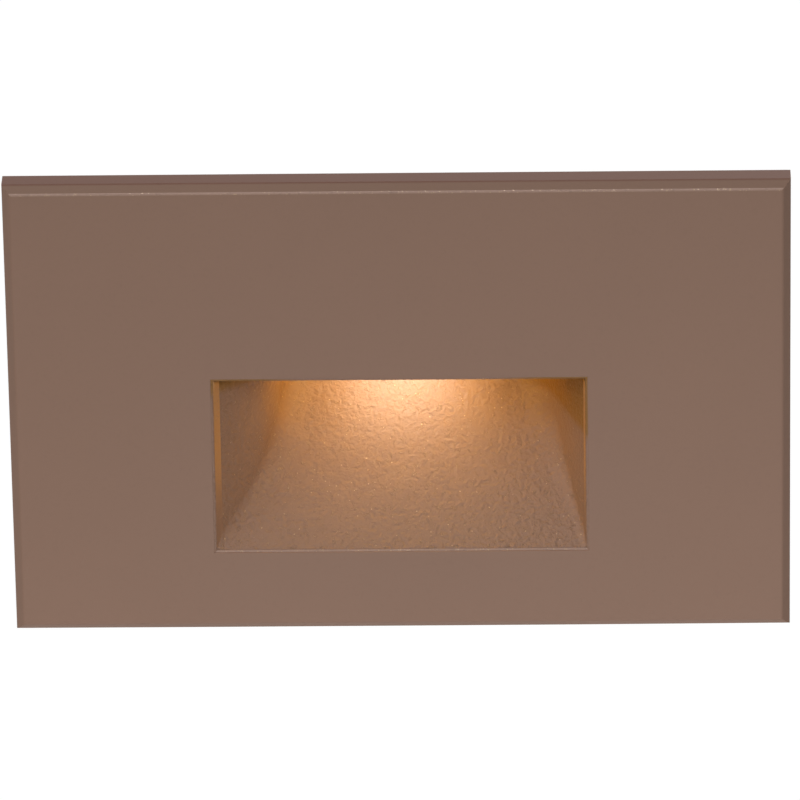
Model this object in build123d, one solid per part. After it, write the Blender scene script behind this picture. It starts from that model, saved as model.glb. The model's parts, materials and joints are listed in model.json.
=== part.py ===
from build123d import *
import os
import math

# Recessed step light for a 2 by 4 in wall box, lit scoop behind a bevelled face plate.
# Frame: +X right, +Z up, the light faces -Y.
# Origin: the wall plane, at the middle of the face plate.

os.makedirs("parts", exist_ok=True)

# ---------------------------------------------------------------- driving dimensions
plate_w = 127.0        # face plate, left to right
plate_h = 79.4         # face plate, bottom to top
plate_d = 4.9          # how far the plate stands off the wall
bevel = 1.27           # 45 degree bevel round the front
face_t = 1.5           # thickness of the plate's front wall
rim_t = 2.0            # thickness of the plate's side walls
ledge_w = 2.5          # ledge inside the rim that carries the wall gasket
gasket_t = 0.8         # foam between the plate and the wall
mouth_w = 61.0         # opening in the plate, left to right
mouth_h = 31.0         # opening in the plate, bottom to top
mouth_up = 14.15       # plate's bottom edge to the opening's bottom edge

skin = 1.8             # wall of the castings
fit_gap = 0.1          # loose fit round a piece that is held another way
thread_gap = 0.05      # thread drawn as a plain cylinder, radial play
body_gap = 0.3         # least room between pieces that move past each other

strip_left = 1.0       # lit edge strip at the mouth's left side
strip_right = 0.35     # lit edge strip at the mouth's right side
strip_depth = 1.5      # how deep those strips run
mouth_set_back = 0.2   # scoop's front edge behind the plate's front face
cheek_left = 0.865     # left cheek, inward per mm of depth, up to the bend
cheek_bend = 11.5      # depth of that bend behind the plate's front face
cheek_left_rear = 0.16 # left cheek behind the bend
cheek_right = 0.37     # right cheek, inward per mm of depth
ridge_r = 14.0         # rounding of the ridge at that bend
rear_wall_h = 2.65     # height of the scoop's rear wall, from the sloping floor to the ceiling
rear_room = 11.0       # scoop's rear wall to the back of the cover, for the driver board
ceiling_rise = 1.55    # scoop's ceiling above the mouth's top edge
fold_r = 1.0           # fillet between the scoop's floor and cheeks

box_screw_spacing = 83.3  # ears of the wall box
box_screw_r = 1.75        # No. 6 screw
box_neck_r = 1.6          # its plain neck in the bracket's slot
box_head_r = 3.4
box_head_h = 1.6
box_screw_len = 19.0
head_notch = 1.2          # room round the screw heads in the scoop's flange
sheet_t = 1.2          # bracket steel

body_half_w = 34.0     # part that goes into the wall box
body_over = 16.55      # body's top above the mouth's top edge
body_under = 2.75      # body's bottom above the mouth's bottom edge
body_split = 6.0       # where the rear cover meets the casting
cover_gasket_t = 0.8
body_depth = 36.0      # wall plane to the back of the cover

screw_r = 1.25         # M2.5 screws
head_r = 2.1
head_h = 1.6
set_screw_len = 6.0
set_screw_x = 30.0
pillar_r = 3.35        # screw pillars inside the rear cover
post_r = 3.0           # posts that carry the heat spreader

lens_w = 33.0
lens_d = 13.0
lens_t = 2.0
lens_y = 9.0           # middle of the lens behind the wall plane
window_border = 2.0    # how much of the lens is covered by its seat
led_pitch = 7.0
led_case_w = 3.0
led_case_h = 0.7
inlet_r = 2.8          # bore of the wire grommet
inlet_drop = 12.0      # body's top to the inlet and the ground screw
inlet_x = 18.0
ground_x = -20.0
ground_r = 2.0

driver_h = 20.0        # driver board, bottom to top
driver_t = 1.6
driver_clear = 2.0     # behind the board
driver_foot = 0.8      # under the board
driver_screw_in = 9.2  # cover's inner side to the board's screws
driver_screw_up = 2.7  # board's edge to its screws
cap_r = 4.5
cap_len = 16.0
coil_r = 4.8
coil_core_r = 3.6
coil_h = 8.0
coil_end_t = 1.2
rectifier_w = 6.5
rectifier_h = 5.5
rectifier_t = 2.5
varistor_r = 3.6
varistor_t = 2.8
chip_w = 4.8
chip_h = 4.0
chip_t = 1.4
lead_r = 0.6
lead_bend = 3.0

# ---------------------------------------------------------------- derived planes
front_y = -plate_d
inner_y = front_y + face_t
half_w = plate_w / 2
half_h = plate_h / 2
mouth_x = mouth_w / 2
mouth_z0 = -half_h + mouth_up
mouth_z1 = mouth_z0 + mouth_h
hollow_x = half_w - rim_t - ledge_w
hollow_z = half_h - rim_t - ledge_w
body_top = mouth_z1 + body_over
body_bottom = mouth_z0 + body_under
box_screw_x = box_screw_spacing / 2


# ---------------------------------------------------------------- helpers
def block(x0, x1, y0, y1, z0, z1):
    middle = Pos((x0 + x1) / 2, (y0 + y1) / 2, (z0 + z1) / 2)
    return middle * Box(x1 - x0, y1 - y0, z1 - z0)


def rod_y(x, z, r, y0, y1):
    return Pos(x, (y0 + y1) / 2, z) * Rot(90, 0, 0) * Cylinder(r, y1 - y0)


def rod_z(x, y, r, z0, z1):
    return Pos(x, y, (z0 + z1) / 2) * Cylinder(r, z1 - z0)


def rod_x(y, z, r, x0, x1):
    return Pos((x0 + x1) / 2, y, z) * Rot(0, 90, 0) * Cylinder(r, x1 - x0)


def ring(ox, oz0, oz1, ix, iz0, iz1, y0, y1):
    outer = block(-ox, ox, y0, y1, oz0, oz1)
    inner = block(-ix, ix, y0 - 1, y1 + 1, iz0, iz1)
    return outer - inner


def plan_prism(points, z0, z1, rounded=None, radius=0):
    outline = make_face(Polyline(*points, close=True))
    if rounded:
        corner = outline.vertices().sort_by_distance((rounded[0], rounded[1], 0))[0]
        outline = fillet(corner, radius)
    return Pos(0, 0, z0) * extrude(outline, amount=z1 - z0)


def side_prism(points, x0, x1):
    outline = Plane.YZ * make_face(Polyline(*points, close=True))
    return Pos(x0, 0, 0) * extrude(outline, amount=x1 - x0)


def cross_slot(x, z, y_top, size, depth):
    bar = block(x - size, x + size, y_top - depth, y_top, z - 0.3, z + 0.3)
    bar2 = block(x - 0.3, x + 0.3, y_top - depth, y_top, z - size, z + size)
    return bar + bar2


# ---------------------------------------------------------------- face plate
plate = Pos(0, (front_y + 0) / 2, 0) * Box(plate_w, plate_d, plate_h)
front_edges = plate.faces().sort_by(Axis.Y)[0].edges()
plate = chamfer(front_edges, bevel)
plate -= block(-hollow_x, hollow_x, inner_y, 1, -hollow_z, hollow_z)
pocket_x = hollow_x + ledge_w
pocket_z = hollow_z + ledge_w
plate -= block(-pocket_x, pocket_x, -gasket_t, 1, -pocket_z, pocket_z)
plate -= block(-mouth_x, mouth_x, front_y - 1, 1, mouth_z0, mouth_z1)

seal_t = 0.5
flange_y0 = inner_y + seal_t
flange_y1 = -sheet_t - body_gap
pad_r = 2.6
sink_r = 2.35
scoop_screw_x = mouth_x + 6.25
scoop_screw_z0 = mouth_z0 - 3.0
scoop_screw_z1 = mouth_z1 + 10.0
flange_x = scoop_screw_x + sink_r + 1.3
flange_z0 = scoop_screw_z0 - sink_r - 0.9
flange_z1 = body_top + 0.6
scoop_screw_spots = [
    (-scoop_screw_x, scoop_screw_z0),
    (scoop_screw_x, scoop_screw_z0),
    (-scoop_screw_x, scoop_screw_z1),
    (scoop_screw_x, scoop_screw_z1),
]
thread_y0 = front_y + 0.6
for spot_x, spot_z in scoop_screw_spots:
    plate += rod_y(spot_x, spot_z, pad_r, inner_y - 0.2, flange_y0)
for spot_x, spot_z in scoop_screw_spots:
    plate -= rod_y(spot_x, spot_z, screw_r + thread_gap, thread_y0, flange_y0 + 0.1)

set_y = -gasket_t - body_gap - screw_r
bracket_z = hollow_z - 1.7
set_hole_z1 = -bracket_z + 0.5
for side in (-1, 1):
    plate -= rod_z(side * set_screw_x, set_y, screw_r + thread_gap, -half_h - 1, set_hole_z1)
export_step(plate, "parts/face_plate.step")

# ---------------------------------------------------------------- wall gasket
wall_gasket = ring(
    pocket_x - fit_gap, -pocket_z + fit_gap, pocket_z - fit_gap,
    hollow_x, -hollow_z, hollow_z,
    -gasket_t, 0,
)
export_step(wall_gasket, "parts/wall_gasket.step")

# ---------------------------------------------------------------- mouth seal
seal_w = 1.2
mouth_seal = ring(
    mouth_x + seal_w, mouth_z0 - seal_w, mouth_z1 + seal_w,
    mouth_x, mouth_z0, mouth_z1,
    inner_y, flange_y0,
)
export_step(mouth_seal, "parts/mouth_seal.step")

# ---------------------------------------------------------------- scoop casting
lip_y = front_y + mouth_set_back
throat_y = lip_y + strip_depth
tube_x = mouth_x - fit_gap
tube_z0 = mouth_z0 + fit_gap
tube_z1 = mouth_z1 - fit_gap
rim_edge = 0.1
lip_x = tube_x - rim_edge
lip_z0 = tube_z0 + rim_edge
lip_z1 = tube_z1 - rim_edge
throat_x0 = -lip_x + strip_left
throat_x1 = lip_x - strip_right
ceiling_z = mouth_z1 + ceiling_rise
rear_y = body_depth - rear_room
floor_slope = (rear_y - lip_y) / (ceiling_z - rear_wall_h - lip_z0)
throat_z0 = lip_z0 + strip_depth / floor_slope
throat_z1 = lip_z1 - 0.15
bend_y = front_y + cheek_bend
bend_x = throat_x0 + cheek_left * (bend_y - throat_y)
rear_x0 = bend_x + cheek_left_rear * (rear_y - bend_y)
rear_x1 = throat_x1 - cheek_right * (rear_y - throat_y)
ceiling_y = throat_y + 6.2


def floor_z(y):
    return lip_z0 + (y - lip_y) / floor_slope


# room inside the scoop
cavity_plan = [
    (throat_x0, throat_y), (bend_x, bend_y), (rear_x0, rear_y),
    (rear_x1, rear_y), (throat_x1, throat_y),
]
cavity_side = [
    (throat_y, throat_z0), (rear_y, floor_z(rear_y)), (rear_y, ceiling_z),
    (ceiling_y, ceiling_z), (throat_y, throat_z1),
]
cavity = plan_prism(
    cavity_plan, throat_z0 - 5, ceiling_z + 5, (bend_x, bend_y), ridge_r
)
cavity = cavity & side_prism(cavity_side, -mouth_w, mouth_w)
floor_face = cavity.faces().sort_by(Axis.Z)[0]
for face in cavity.faces():
    normal = face.normal_at(face.center())
    if normal.Z < -0.3 and normal.Y > 0.3:
        floor_face = face
folds = []
for edge in floor_face.edges():
    run = edge.position_at(1) - edge.position_at(0)
    if abs(run.X) < 0.9 * edge.length:
        folds.append(edge)
cavity = fillet(folds, fold_r)

# the mouth's edge strips, from the front lip to the throat
lip_outline = [
    (-lip_x, lip_y, lip_z0), (lip_x, lip_y, lip_z0),
    (lip_x, lip_y, lip_z1), (-lip_x, lip_y, lip_z1),
]
throat_outline = [
    (throat_x0, throat_y, throat_z0), (throat_x1, throat_y, throat_z0),
    (throat_x1, throat_y, throat_z1), (throat_x0, throat_y, throat_z1),
]
lip_face = make_face(Polyline(*lip_outline, close=True))
throat_face = make_face(Polyline(*throat_outline, close=True))
mouth_room = loft([lip_face, throat_face])

# outside of the scoop, one skin away
skin_z = skin * math.sqrt(1 + floor_slope ** 2) / floor_slope
shell_plan = [
    (throat_x0 - 1.6 * skin, flange_y1), (bend_x - 1.25 * skin, bend_y),
    (rear_x0 - skin, rear_y + skin), (rear_x1 + skin, rear_y + skin),
    (throat_x1 + 0.9 * skin, flange_y1),
]
shelf_z = ceiling_z + 1.5
shell_side = [
    (flange_y1, floor_z(flange_y1) - skin_z), (rear_y + skin, floor_z(rear_y + skin) - skin_z),
    (rear_y + skin, shelf_z), (flange_y1, shelf_z),
]
shell = plan_prism(shell_plan, floor_z(flange_y1) - skin_z - 1, shelf_z + 1)
shell = shell & side_prism(shell_side, -mouth_w, mouth_w)

flange = block(-flange_x, flange_x, flange_y0, flange_y1, flange_z0, flange_z1)
for side in (-1, 1):
    flange -= rod_y(
        side * box_screw_x, 0, box_head_r + head_notch, flange_y0 - 1, flange_y1 + 1
    )
tube = block(-tube_x, tube_x, lip_y, flange_y0, tube_z0, tube_z1)
rim = ring(
    body_half_w, body_bottom, body_top,
    body_half_w - skin, body_bottom + skin, body_top - skin,
    flange_y1, body_split,
)
shelf_x = body_half_w - skin - 0.6
shelf = block(-shelf_x, shelf_x, flange_y1, rear_y + skin, ceiling_z, shelf_z)
cover_screw_x = body_half_w - 3.4
post_x = cover_screw_x - pillar_r - post_r - 0.75
post_top = shelf_z + 6.0
cover_screw_z0 = body_bottom + 3.6
cover_screw_z1 = body_top - 3.6
cover_screw_spots = [
    (-cover_screw_x, cover_screw_z0), (cover_screw_x, cover_screw_z0),
    (-cover_screw_x, cover_screw_z1), (cover_screw_x, cover_screw_z1),
]
scoop = flange + tube + rim + shell + shelf
for spot_x, spot_z in cover_screw_spots:
    scoop += rod_y(spot_x, spot_z, 3.0, flange_y1, body_split)
for side in (-1, 1):
    scoop += rod_z(side * post_x, lens_y, post_r, ceiling_z, post_top)
scoop -= cavity
scoop -= mouth_room

window_x = lens_w / 2 - window_border
window_y0 = lens_y - lens_d / 2 + window_border
window_y1 = lens_y + lens_d / 2 - window_border
scoop -= block(-window_x, window_x, window_y0, window_y1, ceiling_z - 1, shelf_z + 1)
cover_thread_y = body_split - 5.0
for spot_x, spot_z in cover_screw_spots:
    scoop -= rod_y(spot_x, spot_z, screw_r + thread_gap, cover_thread_y, body_split + 0.1)
for side in (-1, 1):
    scoop -= rod_z(side * post_x, lens_y, screw_r + thread_gap, shelf_z + 0.8, post_top + 1)
for spot_x, spot_z in scoop_screw_spots:
    scoop -= rod_y(spot_x, spot_z, screw_r + fit_gap, flange_y0 - 1, flange_y1 + 1)
    cone = Pos(spot_x, flange_y1 - 0.5, spot_z) * Rot(-90, 0, 0)
    scoop -= cone * Cone(screw_r + fit_gap, sink_r + fit_gap, 1.0)
export_step(scoop, "parts/scoop.step")

# ---------------------------------------------------------------- scoop screws
scoop_screws = []
for spot_x, spot_z in scoop_screw_spots:
    shank = rod_y(spot_x, spot_z, screw_r, thread_y0 + 0.15, flange_y1 - 0.5)
    cone = Pos(spot_x, flange_y1 - 0.5, spot_z) * Rot(-90, 0, 0) * Cone(screw_r, sink_r, 1.0)
    cross = cross_slot(spot_x, spot_z, flange_y1 + 0.1, 1.3, 0.7)
    scoop_screws.append(shank + cone - cross)
export_step(Compound(children=scoop_screws), "parts/scoop_screws.step")

# ---------------------------------------------------------------- lens, its gasket and frame
bed_t = 0.5
lens_x = lens_w / 2
lens_y0 = lens_y - lens_d / 2
lens_y1 = lens_y + lens_d / 2
lens_z0 = shelf_z + bed_t
lens_z1 = lens_z0 + lens_t
lens_gasket = block(-lens_x, lens_x, lens_y0, lens_y1, shelf_z, lens_z0)
lens_gasket -= block(-window_x, window_x, window_y0, window_y1, shelf_z - 1, lens_z0 + 1)
export_step(lens_gasket, "parts/lens_gasket.step")

lens = block(-lens_x, lens_x, lens_y0, lens_y1, lens_z0, lens_z1)
lens = chamfer(lens.edges().filter_by(Axis.Z), 0.8)
export_step(lens, "parts/lens.step")

frame_top = lens_z1 + 0.6
frame_wall = 2.2
frame_x = lens_x + fit_gap + frame_wall
frame_y0 = lens_y0 - fit_gap - 2.0
frame_y1 = lens_y1 + fit_gap + 2.0
carrier_z0 = post_top + 0.2
ear_r = post_r + fit_gap + 1.1
lens_frame = block(-frame_x, frame_x, frame_y0, frame_y1, shelf_z, frame_top)
lens_frame -= block(
    -lens_x - fit_gap, lens_x + fit_gap, lens_y0 - fit_gap, lens_y1 + fit_gap,
    shelf_z - 1, lens_z1,
)
lens_frame -= block(
    -window_x - 0.5, window_x + 0.5, window_y0 - 0.5, window_y1 + 0.5,
    shelf_z, frame_top + 1,
)
for side in (-1, 1):
    web_x = sorted((side * (frame_x - 0.5), side * post_x))
    lens_frame += block(web_x[0], web_x[1], lens_y - 2, lens_y + 2, shelf_z, frame_top)
    lens_frame += rod_z(side * post_x, lens_y, ear_r, shelf_z, carrier_z0)
for side in (-1, 1):
    lens_frame -= rod_z(
        side * post_x, lens_y, post_r + fit_gap, shelf_z - 1, carrier_z0 + 1
    )
export_step(lens_frame, "parts/lens_frame.step")

# ---------------------------------------------------------------- heat spreader, pad, LED board
carrier_t = 3.0
carrier_x = post_x + post_r
carrier_z1 = carrier_z0 + carrier_t
carrier_y0 = lens_y - lens_d / 2 - 1.0
carrier_y1 = lens_y + lens_d / 2 + 1.0
led_screw_x = window_x - 1.6
led_carrier = block(-carrier_x, carrier_x, carrier_y0, carrier_y1, carrier_z0, carrier_z1)
led_carrier = chamfer(led_carrier.edges().filter_by(Axis.Z), 1.5)
for side in (-1, 1):
    led_carrier -= rod_z(
        side * post_x, lens_y, screw_r + fit_gap, carrier_z0 - 1, carrier_z1 + 1
    )
    led_carrier -= rod_z(
        side * led_screw_x, lens_y, 1.0 + thread_gap, carrier_z0 - 1, carrier_z1 - 0.4
    )
export_step(led_carrier, "parts/heat_spreader.step")

pad_t = 0.4
board_t = 1.4
board_x = lens_x + 1.5
board_y0 = lens_y - lens_d / 2 + 0.5
board_y1 = lens_y + lens_d / 2 - 0.5
pad_z0 = carrier_z0 - pad_t
board_z0 = pad_z0 - board_t
thermal_pad = block(-board_x, board_x, board_y0, board_y1, pad_z0, carrier_z0)
led_board = block(-board_x, board_x, board_y0, board_y1, board_z0, pad_z0)
led_board = chamfer(led_board.edges().filter_by(Axis.Z), 0.8)
for side in (-1, 1):
    thermal_pad -= rod_z(
        side * led_screw_x, lens_y, 1.0 + fit_gap, pad_z0 - 1, carrier_z0 + 1
    )
    led_board -= rod_z(side * led_screw_x, lens_y, 1.0 + fit_gap, board_z0 - 1, pad_z0 + 1)
export_step(thermal_pad, "parts/thermal_pad.step")
export_step(led_board, "parts/led_board.step")

emitters = []
for step in (-1, 0, 1):
    case = block(
        step * led_pitch - led_case_w / 2, step * led_pitch + led_case_w / 2,
        lens_y - led_case_w / 2, lens_y + led_case_w / 2, board_z0 - led_case_h, board_z0,
    )
    emitters.append(case)
export_step(Compound(children=emitters), "parts/led_emitters.step")

led_screws = []
for side in (-1, 1):
    shank = rod_z(side * led_screw_x, lens_y, 1.0, board_z0, carrier_z1 - 0.6)
    head = rod_z(side * led_screw_x, lens_y, 1.8, board_z0 - 1.2, board_z0)
    led_screws.append(shank + head)
export_step(Compound(children=led_screws), "parts/led_board_screws.step")

carrier_screws = []
for side in (-1, 1):
    shank = rod_z(side * post_x, lens_y, screw_r, shelf_z + 1.1, carrier_z1)
    head = rod_z(side * post_x, lens_y, head_r, carrier_z1, carrier_z1 + head_h)
    recess = rod_z(side * post_x, lens_y, 1.0, carrier_z1 + head_h - 0.9, carrier_z1 + head_h + 1)
    carrier_screws.append(shank + head - recess)
export_step(Compound(children=carrier_screws), "parts/spreader_screws.step")

# ---------------------------------------------------------------- rear cover and its gasket
cover_y0 = body_split + cover_gasket_t
cover_inner_y = body_depth - skin
inner_half = body_half_w - skin
cover_gasket = ring(
    body_half_w, body_bottom, body_top,
    inner_half, body_bottom + skin, body_top - skin,
    body_split, cover_y0,
)
for spot_x, spot_z in cover_screw_spots:
    cover_gasket += rod_y(spot_x, spot_z, 2.7, body_split, cover_y0)
for spot_x, spot_z in cover_screw_spots:
    cover_gasket -= rod_y(spot_x, spot_z, screw_r + fit_gap, body_split - 1, cover_y0 + 1)
export_step(cover_gasket, "parts/cover_gasket.step")

seat_y = cover_y0 + 5.2
driver_screw_x = inner_half - driver_screw_in
driver_z0 = body_bottom + skin + driver_foot
driver_z1 = driver_z0 + driver_h
driver_y1 = cover_inner_y - driver_clear
driver_y0 = driver_y1 - driver_t
driver_spots = [
    (-driver_screw_x, driver_z0 + driver_screw_up), (driver_screw_x, driver_z0 + driver_screw_up),
    (-driver_screw_x, driver_z1 - driver_screw_up), (driver_screw_x, driver_z1 - driver_screw_up),
]
inlet_z = body_top - inlet_drop
inlet_hole_r = inlet_r + 1.7
ground_z = inlet_z

cover = block(-body_half_w, body_half_w, cover_y0, body_depth, body_bottom, body_top)
cover = fillet(cover.edges().filter_by(Axis.Y), 2.0)
rear_edges = cover.faces().sort_by(Axis.Y)[-1].edges()
cover = fillet(rear_edges, 1.2)
cover -= block(
    -inner_half, inner_half, cover_y0 - 1, cover_inner_y,
    body_bottom + skin, body_top - skin,
)
for spot_x, spot_z in cover_screw_spots:
    cover += rod_y(spot_x, spot_z, pillar_r, cover_y0, cover_inner_y + 0.5)
outer_block = block(-body_half_w, body_half_w, cover_y0, body_depth, body_bottom, body_top)
cover = cover & outer_block
for spot_x, spot_z in cover_screw_spots:
    cover -= rod_y(spot_x, spot_z, screw_r + fit_gap, cover_y0 - 1, seat_y + 1)
    cover -= rod_y(spot_x, spot_z, head_r + 0.15, seat_y, body_depth + 1)
for spot_x, spot_z in driver_spots:
    cover += rod_y(spot_x, spot_z, 2.4, driver_y1, cover_inner_y + 0.5)
for spot_x, spot_z in driver_spots:
    cover -= rod_y(spot_x, spot_z, screw_r + thread_gap, driver_y1 - 0.1, body_depth - 0.8)
cover -= rod_y(inlet_x, inlet_z, inlet_hole_r, cover_inner_y - 1, body_depth + 1)
cover += rod_y(ground_x, ground_z, 4.0, cover_inner_y - 3.2, cover_inner_y + 0.5)
cover -= rod_y(ground_x, ground_z, ground_r + thread_gap, cover_inner_y - 2.6, body_depth + 1)
export_step(cover, "parts/rear_cover.step")

cover_screws = []
for spot_x, spot_z in cover_screw_spots:
    shank = rod_y(spot_x, spot_z, screw_r, cover_thread_y + 0.4, seat_y)
    head = rod_y(spot_x, spot_z, head_r, seat_y, seat_y + head_h)
    cross = cross_slot(spot_x, spot_z, seat_y + head_h + 0.1, 1.3, 0.9)
    cover_screws.append(shank + head - cross)
export_step(Compound(children=cover_screws), "parts/cover_screws.step")

# ---------------------------------------------------------------- ground screw on the cover
ground_head_r = 4.0
hex_r = 3.6
washer = rod_y(ground_x, ground_z, ground_head_r + 0.6, body_depth, body_depth + 0.8)
hex_outline = Plane.XZ * Pos(ground_x, ground_z) * RegularPolygon(hex_r, 6)
hex_head = Pos(0, body_depth + 0.8, 0) * extrude(hex_outline, amount=-2.2)
slot = block(
    ground_x - 5, ground_x + 5, body_depth + 2.0, body_depth + 4, ground_z - 0.4, ground_z + 0.4
)
ground_shank = rod_y(ground_x, ground_z, ground_r, cover_inner_y - 2.2, body_depth)
ground_screw = washer + hex_head + ground_shank - slot
export_step(ground_screw, "parts/ground_screw.step")

# ---------------------------------------------------------------- wire grommet
lip_t = 1.5
grommet = rod_y(inlet_x, inlet_z, inlet_hole_r - 0.02, cover_inner_y, body_depth)
grommet += rod_y(inlet_x, inlet_z, inlet_hole_r + 1.8, body_depth, body_depth + lip_t)
grommet += rod_y(inlet_x, inlet_z, inlet_hole_r + 1.2, cover_inner_y - lip_t, cover_inner_y)
grommet -= rod_y(inlet_x, inlet_z, inlet_r, cover_inner_y - 5, body_depth + 5)
export_step(grommet, "parts/wire_grommet.step")

# ---------------------------------------------------------------- driver board and its parts
driver_x = driver_screw_x + 3.0
driver_board = block(-driver_x, driver_x, driver_y0, driver_y1, driver_z0, driver_z1)
for spot_x, spot_z in driver_spots:
    driver_board -= rod_y(spot_x, spot_z, screw_r + fit_gap, driver_y0 - 1, driver_y1 + 1)
export_step(driver_board, "parts/driver_board.step")

driver_screws = []
for spot_x, spot_z in driver_spots:
    shank = rod_y(spot_x, spot_z, screw_r, driver_y0, body_depth - 1.0)
    head = rod_y(spot_x, spot_z, head_r, driver_y0 - head_h, driver_y0)
    cross = cross_slot(spot_x, spot_z, driver_y0 - head_h + 0.8, 1.3, 0.9)
    driver_screws.append(shank + head - cross)
export_step(Compound(children=driver_screws), "parts/driver_screws.step")

driver_mid = (driver_z0 + driver_z1) / 2
cap_x1 = -2.0
capacitor = rod_x(driver_y0 - cap_r, driver_mid - 3, cap_r, cap_x1 - cap_len, cap_x1)
capacitor = fillet(capacitor.edges(), 0.6)
export_step(capacitor, "parts/driver_capacitor.step")

coil_x = cap_x1 + 3.2 + coil_r
coil_z = driver_mid - 2
coil = rod_y(coil_x, coil_z, coil_r, driver_y0 - coil_end_t, driver_y0)
coil += rod_y(coil_x, coil_z, coil_core_r, driver_y0 - coil_h + coil_end_t, driver_y0)
coil += rod_y(coil_x, coil_z, coil_r, driver_y0 - coil_h, driver_y0 - coil_h + coil_end_t)
export_step(coil, "parts/driver_coil.step")

rectifier_x = coil_x + coil_r + 2.2
rectifier_z = driver_mid - 8
rectifier = block(
    rectifier_x, rectifier_x + rectifier_w, driver_y0 - rectifier_t, driver_y0,
    rectifier_z, rectifier_z + rectifier_h,
)
rectifier = chamfer(rectifier.faces().sort_by(Axis.Y)[0].edges(), 0.4)
export_step(rectifier, "parts/driver_rectifier.step")

varistor_x = rectifier_x + varistor_r + 0.4
varistor_z = rectifier_z + rectifier_h + varistor_r + 2.4
varistor = rod_y(varistor_x, varistor_z, varistor_r, driver_y0 - varistor_t, driver_y0)
varistor = fillet(varistor.faces().sort_by(Axis.Y)[0].edges(), 0.8)
export_step(varistor, "parts/driver_varistor.step")

chip_z1 = driver_z1 - 1.5
chips = []
for chip_x in (cap_x1 - cap_len + 1, coil_x - 4.5, coil_x + 2):
    chip = block(
        chip_x - chip_w / 2, chip_x + chip_w / 2, driver_y0 - chip_t, driver_y0,
        chip_z1 - chip_h, chip_z1,
    )
    chips.append(chip)
export_step(Compound(children=chips), "parts/driver_chips.step")

# ---------------------------------------------------------------- leads from driver to LED board
def lead(x, drop):
    top_z = board_z0 - lead_r
    back_y = driver_y0 - lead_r
    corner = (x, back_y, top_z)
    path = FilletPolyline((x, board_y1 - 1.2, top_z), corner, (x, back_y, drop), radius=lead_bend)
    section = Plane((x, board_y1 - 1.2, top_z), z_dir=(0, 1, 0)) * Circle(lead_r)
    return sweep(section, path=path)


export_step(lead(-9.0, driver_z1 - 5.0), "parts/led_lead_red.step")
export_step(lead(-5.0, driver_z1 - 5.0), "parts/led_lead_black.step")

# ---------------------------------------------------------------- set screws in the lower rim
for side, name in ((-1, "left"), (1, "right")):
    top = -bracket_z
    stud = rod_z(side * set_screw_x, set_y, screw_r, top - set_screw_len, top)
    stud = chamfer(stud.edges().sort_by(Axis.Z)[-1], 0.35)
    key_outline = Pos(side * set_screw_x, set_y, top - set_screw_len) * RegularPolygon(0.75, 6)
    stud -= extrude(key_outline, amount=1.6)
    export_step(stud, "parts/set_screw_" + name + ".step")

# ---------------------------------------------------------------- mounting bracket
window_half = body_half_w + 1.0
window_z0 = floor_z(-sheet_t) - skin_z - body_gap
window_z1 = body_top + 1.0
bracket_x = box_screw_x + 8.5
slot_w = 4.0
slot_len = 8.0
flange_reach = inner_y + body_gap
bracket = block(-bracket_x, bracket_x, -sheet_t, 0, -bracket_z, bracket_z)
wing_x = bracket_x - 4.0
for side in (-1, 1):
    z_pair = sorted((side * bracket_z, side * (bracket_z - sheet_t)))
    bracket += block(-wing_x, wing_x, flange_reach, 0, z_pair[0], z_pair[1])
bracket -= block(-window_half, window_half, -10, 10, window_z0, window_z1)
for side in (-1, 1):
    middle = side * box_screw_x
    half_run = (slot_len - slot_w) / 2
    bracket -= block(
        middle - half_run, middle + half_run, -10, 10, -slot_w / 2, slot_w / 2
    )
    bracket -= rod_y(middle - half_run, 0, slot_w / 2, -10, 10)
    bracket -= rod_y(middle + half_run, 0, slot_w / 2, -10, 10)
plan_edges = []
for edge in bracket.edges().filter_by(Axis.Y):
    middle = edge.position_at(0.5)
    if abs(abs(middle.X) - bracket_x) < 0.01:
        plan_edges.append(edge)
bracket = fillet(plan_edges, 3.0)
export_step(bracket, "parts/mounting_bracket.step")

# ---------------------------------------------------------------- box screws
box_screws = []
for side in (-1, 1):
    middle = side * box_screw_x
    head_y = -sheet_t - box_head_h
    head = rod_y(middle, 0, box_head_r, head_y, -sheet_t)
    head = fillet(head.edges().sort_by(Axis.Y)[0], 0.9)
    neck = rod_y(middle, 0, box_neck_r, -sheet_t, 0)
    shank = rod_y(middle, 0, box_screw_r, 0, box_screw_len)
    cut = block(middle - 5, middle + 5, head_y - 1, head_y + 0.8, -0.45, 0.45)
    box_screws.append(head + neck + shank - cut)
export_step(Compound(children=box_screws), "parts/box_screws.step")
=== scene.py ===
# %% [markdown]
# # A recessed step light
# The real object is a small outdoor light that sits in a wall box beside a stair. What people
# see is a bronze face plate with bevelled edges and one rectangular mouth. Behind the mouth the
# floor of a cast scoop slopes up under a hidden lamp, so that the light falls on the step and
# never in the eye. The CAD solids are the fixed frame of this lesson: every piece that Blender
# makes has to stay with them, because the same solids move in the physics model.

# %% Load the CAD frame
import json
import math

import bmesh
import bpy
from mathutils import Matrix, Vector

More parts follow.
